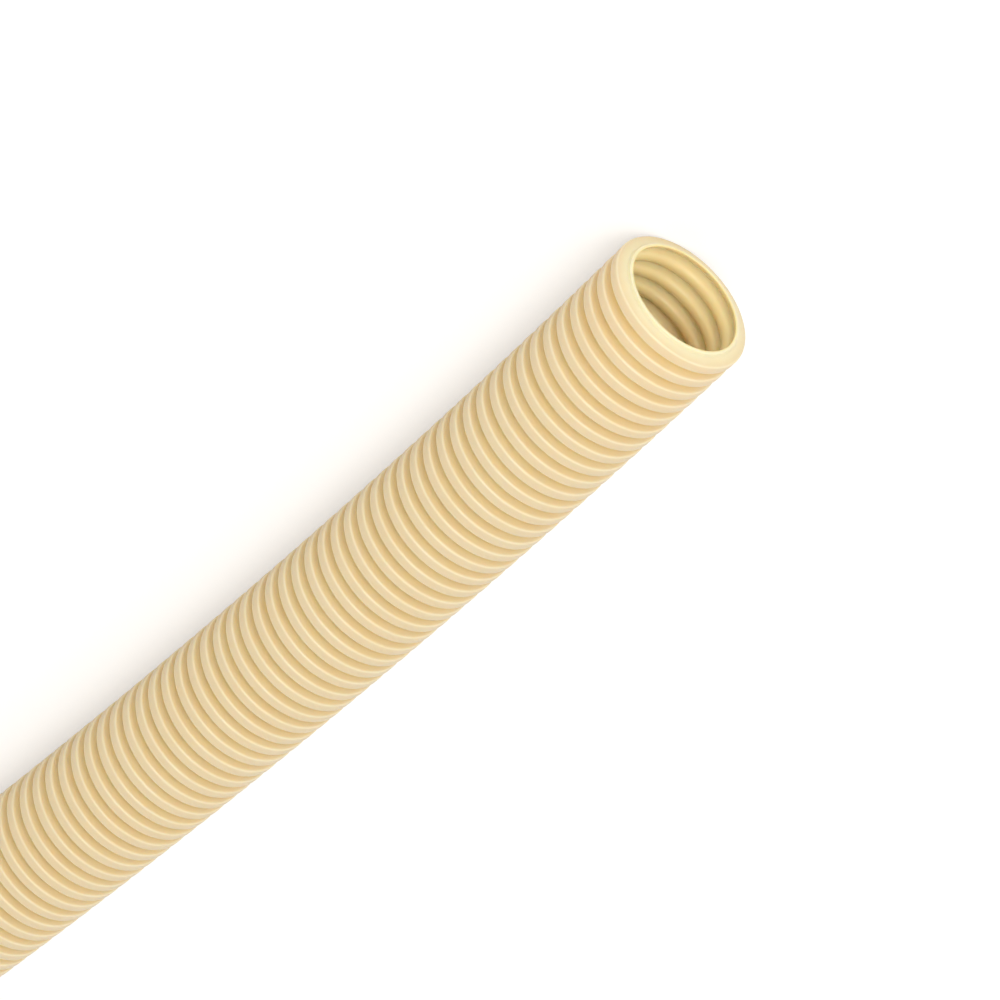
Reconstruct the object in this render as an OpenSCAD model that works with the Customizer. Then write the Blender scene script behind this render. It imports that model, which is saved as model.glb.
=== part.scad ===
// Corrugated conduit: one length of annular-ribbed flexible PVC pipe, cut off a coil.
// +X runs along the straight part of the pipe, from its cut end towards the open mouth, and Z
// points up. Near the mouth the pipe keeps the bow of the coil, which turns towards +Y.

/* [Pipe] */
// Diameter over the rib crests
outer_d = 25; // [24:0.1:26]
// Thickness of the wall
wall = 0.6; // [0.4:0.05:0.65]

/* [Rib] */
// Distance from one rib to the next
pitch = 3.5; // [3.4:0.05:4]
// Height of a rib's crest above the bottom of the groove
rib_height = 2; // [1.8:0.05:2.1]
// Width of the flat on a rib's crest
crest_land = 0.3; // [0.2:0.05:0.35]
// Radius of a crest's outer corners
crest_round = 0.75; // [0.7:0.05:0.8]
// Radius of the fillets at the bottom of a groove
groove_round = 0.4; // [0.3:0.05:0.4]
// Angle by which a flank leans out from the crest to the groove
flank_angle = 15; // [8:1:15]

/* [Straight run] */
// Number of ribs on the straight run
run_ribs = 228; // [40:1:320]

/* [Bow] */
// Ribs on each piece of the bow
bow_ribs = 7; // [3:1:10]
// Number of pieces in the bow before the one at the mouth
bow_pieces = 6; // [1:1:12]
// Angle between one piece of the bow and the next
bow_step = 0.9; // [0.2:0.1:1.5]
// Ribs on the last piece, which ends at the mouth
mouth_ribs = 8; // [4:1:12]
// Depth by which the wall is thinner in the grooves where the bow turns
neck_relief = 0.1; // [0.05:0.05:0.2]

/* [Hidden] */
$fn = 96;

// Outside and inside of the wall, at a crest's top and at the bottom of a groove
crest_r = outer_d / 2;
groove_r = crest_r - rib_height;
bore_r = groove_r - wall;

// Straight part of a flank between its two rounds, and where it ends at the groove
flank_length = (rib_height - (crest_round + groove_round) * (1 - sin(flank_angle)))
    / cos(flank_angle);
flank_x = crest_land / 2 + crest_round * cos(flank_angle) + flank_length * sin(flank_angle);

// Centre of a groove's fillet, from the middle of the rib and from the pipe's axis
foot_x = flank_x + groove_round * cos(flank_angle);
foot_r = groove_r + groove_round;

// Points along an arc about a centre in X and radius, from one angle to another
function arc(x, r, radius, from, to, steps) =
    [for (i = [0 : steps]) let (a = from + (to - from) * i / steps)
        [x + radius * cos(a), r + radius * sin(a)]];

// Fillet between a groove and the rib at x, on the side of the rib that is -1 or 1, from
// left to right
function fillet(x, side, radius, steps) = side < 0
    ? arc(x - foot_x, foot_r, radius, -90, -flank_angle, steps)
    : arc(x + foot_x, foot_r, radius, flank_angle - 180, -90, steps);
function fillet_outside(x, side) = fillet(x, side, groove_round, 2);
function fillet_inside(x, side) = fillet(x, side, groove_round + wall, 1);

// Rib's top from flank to flank. Inside, the two flanks meet the top in plain corners.
function crest_outside(x) = [
    each arc(x - crest_land / 2, crest_r - crest_round, crest_round, 180 - flank_angle, 90, 2),
    each arc(x + crest_land / 2, crest_r - crest_round, crest_round, 90, flank_angle, 2)
];
function crest_inside(x) =
    let (corner_x = crest_land / 2
        + (crest_round - wall) * (1 - sin(flank_angle)) / cos(flank_angle))
    [[x - corner_x, crest_r - wall], [x + corner_x, crest_r - wall]];

function reversed(points) = [for (i = [len(points) - 1 : -1 : 0]) points[i]];

// Each side of the wall from the first rib's top to the last rib's, with the grooves between
function wave_outside(mids) = [
    for (i = [0 : len(mids) - 1]) each [
        if (i > 0) each fillet_outside(mids[i], -1),
        each crest_outside(mids[i]),
        if (i < len(mids) - 1) each fillet_outside(mids[i], 1)
    ]
];
function wave_inside(mids) = [
    for (i = [0 : len(mids) - 1]) each [
        if (i > 0) each fillet_inside(mids[i], -1),
        each crest_inside(mids[i]),
        if (i < len(mids) - 1) each fillet_inside(mids[i], 1)
    ]
];

// End of the wall on one side of the rib at x, from the outside of its flank to the inside.
// A cut end is in the middle of the groove. A joined end is the flat foot of the flank.
function cut_end(x, side) = [
    each side < 0 ? reversed(fillet_outside(x, side)) : fillet_outside(x, side),
    [x + side * pitch / 2, groove_r],
    [x + side * pitch / 2, bore_r],
    each side < 0 ? fillet_inside(x, side) : reversed(fillet_inside(x, side))
];
function joined_end(x, side) =
    let (inner_x = flank_x - wall * cos(flank_angle))
    [
        [x + side * flank_x, foot_r - groove_round * sin(flank_angle)],
        [x + side * flank_x, bore_r],
        [x + side * inner_x, bore_r],
        [x + side * inner_x, foot_r - (groove_round + wall) * sin(flank_angle)]
    ];

// Straight piece of pipe along +X. Each end is either cut or joined.
module piece(ribs, start_joined, end_joined) {
    mids = [for (i = [0 : ribs - 1]) (i + 0.5) * pitch];
    first = mids[0];
    last = mids[ribs - 1];
    rotate([0, 90, 0]) rotate_extrude() rotate([0, 0, 90]) mirror([0, 1])
        polygon([
            each wave_outside(mids),
            each end_joined ? joined_end(last, 1) : cut_end(last, 1),
            each reversed(wave_inside(mids)),
            each reversed(start_joined ? joined_end(first, -1) : cut_end(first, -1))
        ]);
}

// Bottom of the groove between two joined ends. The origin is the middle of the groove, and the
// neck lies halfway between the two pieces' directions, with its ends sunk in their feet.
module neck() {
    reach = pitch / 2 - flank_x + wall / 2;
    rotate([0, 0, bow_step / 2]) rotate([0, 90, 0]) difference() {
        cylinder(r = groove_r, h = 2 * reach, center = true);
        cylinder(r = bore_r + neck_relief, h = 3 * reach, center = true);
    }
}

// The pipe past the run: it calls itself for what follows the next piece
module bow(pieces) {
    last = pieces == 0;
    ribs = last ? mouth_ribs : bow_ribs;
    neck();
    rotate([0, 0, bow_step]) {
        piece(ribs, true, !last);
        if (!last) translate([ribs * pitch, 0, 0]) bow(pieces - 1);
    }
}

module conduit() {
    color("#eed7ab") {
        piece(run_ribs, false, true);
        translate([run_ribs * pitch, 0, 0]) bow(bow_pieces);
    }
}

conduit();
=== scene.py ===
"""Corrugated conduit, dressed for the camera: a length of cream ribbed PVC pipe that lies on a
pale floor, with its open mouth towards the viewer."""

import bpy
import math
import numpy as np
from mathutils import Matrix, Vector


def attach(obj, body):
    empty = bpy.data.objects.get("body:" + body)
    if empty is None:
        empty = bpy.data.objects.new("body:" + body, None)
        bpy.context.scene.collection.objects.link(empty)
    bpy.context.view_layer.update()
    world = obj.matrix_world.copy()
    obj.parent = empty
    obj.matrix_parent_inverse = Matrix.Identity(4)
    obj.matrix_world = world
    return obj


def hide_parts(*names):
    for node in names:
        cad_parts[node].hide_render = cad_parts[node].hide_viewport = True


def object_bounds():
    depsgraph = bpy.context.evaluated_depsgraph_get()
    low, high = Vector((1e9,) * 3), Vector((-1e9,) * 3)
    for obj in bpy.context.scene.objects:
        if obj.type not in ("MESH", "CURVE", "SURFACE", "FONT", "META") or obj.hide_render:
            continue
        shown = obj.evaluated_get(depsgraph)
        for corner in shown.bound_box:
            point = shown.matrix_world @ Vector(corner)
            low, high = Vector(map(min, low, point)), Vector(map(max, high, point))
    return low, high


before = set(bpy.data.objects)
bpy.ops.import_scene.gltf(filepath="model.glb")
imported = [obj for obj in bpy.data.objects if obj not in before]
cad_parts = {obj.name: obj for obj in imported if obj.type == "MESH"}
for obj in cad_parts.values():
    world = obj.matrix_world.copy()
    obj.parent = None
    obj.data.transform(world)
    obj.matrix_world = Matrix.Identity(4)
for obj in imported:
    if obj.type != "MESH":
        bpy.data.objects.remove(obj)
cad_box = [list(corner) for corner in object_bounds()]


# ---- Conduit -----------------------------------------------------------------------------------
# One length of corrugated pipe with ring-shaped ribs. It is extruded as a plain PVC tube and
# blown, still soft, into travelling mould halves, so its wall follows the ribs inside and out.
# Both ends are sawn through the middle of a groove.

CREST_R, GROOVE_R, WALL = 0.0125, 0.0105, 0.0006
PITCH, CREST_LAND, CREST_ROUND, GROOVE_ROUND = 0.0035, 0.0011, 0.0004, 0.0004
FLANK_ANGLE = 10
RIBS, RUN_RIBS, BOW_RIBS = 278, 228, 7
LENGTH = RIBS * PITCH
BOW_CURVE = math.radians(0.9) / (BOW_RIBS * PITCH)
BOW_START = (RUN_RIBS - BOW_RIBS / 2) * PITCH
LIP_ROUND, LIP_STEPS = 0.00012, 3
# Smallest round that a corner inside the wall may shrink to
LEAST_ROUND = 0.0001


def along_pipe(s, r, turn):
    """Points of the pipe at arc length s along its centreline, at radius r and turned by an angle
    about it. The centreline runs straight along X, then as one circular arc towards Y up to the
    mouth: the heading is the arc length past the arc's start times its curvature, and the place
    is the integral of the heading's cosine and sine."""
    heading = np.maximum(s - BOW_START, 0) * BOW_CURVE
    x = np.minimum(s, BOW_START) + np.sin(heading) / BOW_CURVE
    y = (1 - np.cos(heading)) / BOW_CURVE
    out = r[:, None] * np.cos(turn)
    return np.stack(
        [
            x[:, None] - np.sin(heading)[:, None] * out,
            y[:, None] + np.cos(heading)[:, None] * out,
            r[:, None] * np.sin(turn),
        ],
        axis=-1,
    )


def arc(x, r, radius, start, end, steps):
    """Points of a circular arc about (x, r), from one angle in degrees to another."""
    angle = np.radians(np.linspace(start, end, steps + 1))
    return np.stack([x + radius * np.cos(angle), r + radius * np.sin(angle)], axis=-1)


def rib(inset, steps):
    """One rib's line of (distance along the pipe, radius), centred on 0: a fillet up out of the
    groove, a leaning flank that touches both rounds, the round-cornered crest, and the same down
    again. The flank is as long as the rib's height less what the two rounds climb, over the
    cosine of its angle. The inset moves the line into the wall, which keeps the fillets' centres
    and widens them, and shrinks the crest's rounds, down to a least round."""
    sine, cosine = math.sin(math.radians(FLANK_ANGLE)), math.cos(math.radians(FLANK_ANGLE))
    rounds = CREST_ROUND + GROOVE_ROUND
    flank = (CREST_R - GROOVE_R - rounds * (1 - sine)) / cosine
    foot = CREST_LAND / 2 + rounds * cosine + flank * sine
    fillet = arc(
        -foot, GROOVE_R + GROOVE_ROUND, GROOVE_ROUND + inset, -90, -FLANK_ANGLE, steps
    )
    corner = max(CREST_ROUND - inset, LEAST_ROUND)
    side, top = CREST_LAND / 2 + CREST_ROUND - inset, CREST_R - inset
    crest = arc(corner - side, top - corner, corner, 180 - FLANK_ANGLE, 90, steps)
    half = np.concatenate([fillet, crest])
    return np.concatenate([half, half[::-1] * [-1, 1]])


def wall_line(first, last, steps, inner_steps):
    """Closed line round the cut wall from rib number first up to rib number last: along the
    outside, across the end, back along the inside and across the start. Sawn ends get a small
    round on each edge. Returns the line, which of its points are inside, and which are corners
    where a section meets the next one."""
    centres = (np.arange(first, last) + 0.5) * PITCH
    shift = np.stack([centres, np.zeros_like(centres)], axis=-1)[:, None]
    outside = (rib(0, steps) + shift).reshape(-1, 2)
    inside = (rib(WALL, inner_steps) + shift).reshape(-1, 2)[::-1]
    start, end, bore = first * PITCH, last * PITCH, GROOVE_R - WALL
    if last == RIBS:
        q = LIP_ROUND
        lip = np.concatenate(
            [
                arc(end - q, GROOVE_R - q, q, 90, 0, LIP_STEPS),
                arc(end - q, bore + q, q, 0, -90, LIP_STEPS),
            ]
        )
    else:
        lip = np.array([[end, GROOVE_R], [end, bore]])
    if first == 0:
        q = LIP_ROUND
        tail = np.concatenate(
            [
                arc(q, bore + q, q, -90, -180, LIP_STEPS),
                arc(q, GROOVE_R - q, q, 180, 90, LIP_STEPS),
            ]
        )
    else:
        tail = np.array([[start, bore], [start, GROOVE_R]])
    line = np.concatenate([outside, lip, inside, tail])
    is_inside = np.zeros(len(line))
    is_inside[len(outside) + len(lip) // 2 : len(line) - len(tail) // 2] = 1
    corner = np.zeros(len(line), bool)
    if last != RIBS:
        corner[len(outside) : len(outside) + 2] = True
    if first != 0:
        corner[-2:] = True
    return line, is_inside, corner


def pipe_section(name, first, last, sides, steps, inner_steps):
    """Closed mesh of the pipe between two rib numbers: the wall's line is carried once round the
    centreline, as a grid of points that closes on itself both ways."""
    line, is_inside, corner = wall_line(first, last, steps, inner_steps)
    rows = len(line)
    turn = np.arange(sides) * (2 * np.pi / sides)
    points = along_pipe(line[:, 0], line[:, 1], turn).reshape(-1, 3)
    j, k = np.meshgrid(np.arange(rows), np.arange(sides), indexing="ij")
    j2, k2 = (j + 1) % rows, (k + 1) % sides
    faces = np.stack([j * sides + k, j * sides + k2, j2 * sides + k2, j2 * sides + k], axis=-1)
    mesh = bpy.data.meshes.new(name)
    mesh.from_pydata(points, [], faces.reshape(-1, 4))
    mesh.shade_smooth()

    ends = np.empty(len(mesh.edges) * 2, np.int32)
    mesh.edges.foreach_get("vertices", ends)
    ring = ends.reshape(-1, 2) // sides
    sharp = mesh.attributes.new("sharp_edge", "BOOLEAN", "EDGE")
    sharp.data.foreach_set("value", (ring[:, 0] == ring[:, 1]) & corner[ring[:, 0]])

    around = np.stack([k, k + 1, k + 1, k], axis=-1) / sides
    along = line[:, 0][np.stack([j, j, j2, j2], axis=-1)]
    uv = mesh.uv_layers.new(name="round_and_along")
    uv.data.foreach_set("uv", np.stack([around, along], axis=-1).ravel())

    height = CREST_R - GROOVE_R
    depth = np.clip((CREST_R - line[:, 1]) / height, 0, 1) * (1 - is_inside)
    hollow = np.clip((line[:, 1] - GROOVE_R + WALL) / height, 0, 1) * is_inside
    # Painted highlight: a pale line painted along both shoulder rounds of each crest, strongest
    # at mid-round
    highlight_mask = np.zeros(len(line))
    ribs, arcs = last - first, np.zeros((2, 2, steps + 1))
    arcs[:, 1] = 1 - np.abs(np.linspace(-1, 1, steps + 1))
    arcs[1] = arcs[1, ::-1]
    highlight_mask[: ribs * arcs.size] = np.tile(arcs.ravel(), ribs)
    # Painted highlight: the mouth's lip and the fillet beside it get the full painted highlight
    if last == RIBS:
        lip_start = ribs * arcs.size
        highlight_mask[lip_start - (steps + 1) : lip_start + 2 * (LIP_STEPS + 1)] = 1
    for label, values in (
        ("groove_depth", depth + hollow),
        ("inner_wall", is_inside),
        ("highlight_mask", highlight_mask),
    ):
        layer = mesh.attributes.new(label, "FLOAT", "POINT")
        layer.data.foreach_set("value", np.repeat(values, sides))

    piece = bpy.data.objects.new(name, mesh)
    bpy.context.collection.objects.link(piece)
    return piece


def linear(colour):
    """sRGB hex colour as linear RGBA."""
    srgb = np.array([int(colour[i : i + 2], 16) for i in (1, 3, 5)]) / 255
    return (*np.where(srgb <= 0.04045, srgb / 12.92, ((srgb + 0.055) / 1.055) ** 2.4), 1)


def node(tree, kind, inputs=None, **settings):
    """Adds a node with its settings, and gives each input its value or links it."""
    added = tree.nodes.new(kind)
    for key, value in settings.items():
        setattr(added, key, value)
    for key, value in (inputs or {}).items():
        if isinstance(value, bpy.types.NodeSocket):
            tree.links.new(value, added.inputs[key])
        else:
            added.inputs[key].default_value = value
    return added


# Unplasticised PVC, cream, straight from the mould: a soft gloss, faint clouds in the pigment
# and a fine ripple left by the mould. Grooves are painted paler than crests, painted light that
# lifts their shade; crest shoulders and the mouth's lip carry a painted highlight; the inside is
# painted bright amber, a painted glow of light through the wall, with paler hollows that lift
# their shade. Light sinks further into the wall from outside than from inside.
pvc = bpy.data.materials.new("cream_pvc")
pvc.use_nodes = True
t = pvc.node_tree
t.nodes.clear()
place = node(t, "ShaderNodeTexCoord").outputs["Object"]
depth = node(t, "ShaderNodeAttribute", attribute_name="groove_depth").outputs["Fac"]
inner = node(t, "ShaderNodeAttribute", attribute_name="inner_wall").outputs["Fac"]
# Strength of the painted highlight on the crest shoulders and the mouth's lip
HIGHLIGHT_STRENGTH = 0.5
# Grooves are painted paler than crests, painted light that lifts their shade; the third colour is
# the painted highlight
GROOVE_PAINTED_LIGHT_CREAM, CREST_CREAM, HIGHLIGHT_CREAM = "#FFE4B0", "#E9CFA8", "#FDEBCC"
# The inside's colours are a painted glow of light through the wall; hollows are painted paler
# still to lift their shade
RIDGE_GLOW_AMBER, HOLLOW_GLOW_AMBER, CLOUD_CREAM = "#FFE6A8", "#FFF6D0", "#ECCC9C"
# Inputs of a Mix node's two colours
A, B = 6, 7
# Clouds about 12 mm wide in the pigment
clouds = node(t, "ShaderNodeTexNoise", {"Vector": place, "Scale": 80, "Detail": 3}).outputs["Fac"]
# Mould ripple and dust, drawn about 0.5 mm wide so that it shows
ripple = node(
    t, "ShaderNodeTexNoise", {"Vector": place, "Scale": 2000, "Detail": 2}
).outputs["Fac"]
highlight_mask = node(t, "ShaderNodeAttribute", attribute_name="highlight_mask").outputs["Fac"]
# Painted light: the outside is mixed towards the paler groove colour as the groove deepens
outer = node(
    t,
    "ShaderNodeMix",
    {"Factor": depth, A: linear(CREST_CREAM), B: linear(GROOVE_PAINTED_LIGHT_CREAM)},
    data_type="RGBA",
).outputs[2]
# Painted highlight: shoulders and lip are mixed towards a pale cream
highlight_amount = node(
    t, "ShaderNodeMath", {0: highlight_mask, 1: HIGHLIGHT_STRENGTH}, operation="MULTIPLY"
).outputs["Value"]
highlighted = node(
    t, "ShaderNodeMix", {"Factor": highlight_amount, A: outer, B: linear(HIGHLIGHT_CREAM)}, data_type="RGBA"
).outputs[2]
# Painted glow inside: ridges amber, hollows painted paler to lift their shade
bore = node(
    t,
    "ShaderNodeMix",
    {"Factor": depth, A: linear(RIDGE_GLOW_AMBER), B: linear(HOLLOW_GLOW_AMBER)},
    data_type="RGBA",
).outputs[2]
lined = node(
    t, "ShaderNodeMix", {"Factor": inner, A: highlighted, B: bore}, data_type="RGBA"
).outputs[2]
weight = node(
    t, "ShaderNodeMapRange", {"Value": clouds, "From Min": 0.3, "From Max": 0.7, "To Max": 0.25}
).outputs["Result"]
tinted = node(
    t, "ShaderNodeMix", {"Factor": weight, A: lined, B: linear(CLOUD_CREAM)}, data_type="RGBA"
).outputs[2]
rough = node(
    t,
    "ShaderNodeMapRange",
    {"Value": ripple, "From Min": 0.3, "From Max": 0.7, "To Min": 0.3, "To Max": 0.42},
).outputs["Result"]
bump = node(
    t, "ShaderNodeBump", {"Height": ripple, "Strength": 0.15, "Distance": 0.00005}
).outputs["Normal"]
glow_depth = node(
    t, "ShaderNodeMapRange", {"Value": inner, "To Min": 0.002, "To Max": 0.0005}
).outputs["Result"]
shader = node(
    t,
    "ShaderNodeBsdfPrincipled",
    {
        "Base Color": tinted,
        "Roughness": rough,
        "Normal": bump,
        "IOR": 1.53,
        "Subsurface Weight": 0.7,
        "Subsurface Radius": (1.0, 0.75, 0.45),
        "Subsurface Scale": glow_depth,
    },
)
node(t, "ShaderNodeOutputMaterial", {"Surface": shader.outputs["BSDF"]})

# The pipe is built in five sections that meet in the middle of a groove. The two at the mouth
# are finer, because they are seen close up.
for name, first, last, sides, steps, inner_steps in (
    ("conduit_run_a", 0, 74, 48, 2, 1),
    ("conduit_run_b", 74, 148, 48, 2, 1),
    ("conduit_run_c", 148, 222, 48, 2, 1),
    ("conduit_bow", 222, 250, 72, 4, 2),
    ("conduit_mouth", 250, 278, 96, 4, 3),
):
    section = pipe_section(name, first, last, sides, steps, inner_steps)
    section.data.materials.append(pvc)
    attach(section, "root")
    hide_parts("conduit")


# ---- Floor -------------------------------------------------------------------------------------
# A plain white matt floor that the pipe lies on. It shows nearly white to the camera and keeps
# the pipe's soft shadow.

floor_mesh = bpy.data.meshes.new("floor")
reach, level = 6, cad_box[0][2]
ROOM_WHITE, SEEN_WHITE, SEEN_GLOW = "#E8E8E6", "#C8C8C6", 0.5
floor_mesh.from_pydata(
    [
        (-reach, -reach, level),
        (reach, -reach, level),
        (reach, reach, level),
        (-reach, reach, level),
    ],
    [],
    [(0, 1, 2, 3)],
)
floor = bpy.data.objects.new("floor", floor_mesh)
bpy.context.collection.objects.link(floor)
white = bpy.data.materials.new("white_paper")
white.use_nodes = True
t = white.node_tree
t.nodes.clear()
seen = node(t, "ShaderNodeLightPath").outputs["Is Camera Ray"]
tone = node(
    t,
    "ShaderNodeMix",
    {"Factor": seen, A: linear(ROOM_WHITE), B: linear(SEEN_WHITE)},
    data_type="RGBA",
).outputs[2]
paper = node(t, "ShaderNodeBsdfDiffuse", {"Color": tone}).outputs["BSDF"]
lift = node(
    t, "ShaderNodeMath", {0: seen, 1: SEEN_GLOW}, operation="MULTIPLY"
).outputs["Value"]
glow = node(t, "ShaderNodeEmission", {"Strength": lift}).outputs["Emission"]
both = node(t, "ShaderNodeAddShader", {0: paper, 1: glow}).outputs["Shader"]
node(t, "ShaderNodeOutputMaterial", {"Surface": both})
floor_mesh.materials.append(white)


# ---- Light -------------------------------------------------------------------------------------
# An even white room and one large soft lamp overhead.

world = bpy.data.worlds.new("room")
bpy.context.scene.world = world
world.use_nodes = True
world.node_tree.nodes["Background"].inputs["Color"].default_value = (1, 1, 1, 1)
world.node_tree.nodes["Background"].inputs["Strength"].default_value = 0.86

mouth = Vector(along_pipe(np.array([LENGTH]), np.array([0.0]), np.array([0.0]))[0, 0])


def lamp(name, direction, distance, size, power):
    """A square area lamp at a distance from the mouth in a direction, facing the mouth."""
    light = bpy.data.lights.new(name, "AREA")
    light.size = size
    light.energy = power
    holder = bpy.data.objects.new(name, light)
    towards = Vector(direction).normalized()
    holder.location = mouth + towards * distance
    holder.rotation_euler = towards.to_track_quat("Z", "Y").to_euler()
    bpy.context.collection.objects.link(holder)


lamp("overhead", (0.65, 0.36, 0.8), 0.8, 0.5, 2.4)


# ---- Camera ------------------------------------------------------------------------------------
# A long lens close to the mouth, looking down at the pipe and turned nearly upside down.

camera = bpy.data.cameras.new("camera")
camera.lens = 206.6
camera.sensor_width = 36
viewer = bpy.data.objects.new("camera", camera)
heading, down, roll = math.radians(-133.379), math.radians(40), math.radians(174.078)
viewer.matrix_world = (
    Matrix.Translation((1.401571, 0.511141, 0.588584))
    @ Matrix.Rotation(heading - math.pi / 2, 4, "Z")
    @ Matrix.Rotation(math.pi / 2 - down, 4, "X")
    @ Matrix.Rotation(roll, 4, "Z")
)
bpy.context.collection.objects.link(viewer)
bpy.context.scene.camera = viewer
bpy.context.scene.view_settings.view_transform = "Standard"
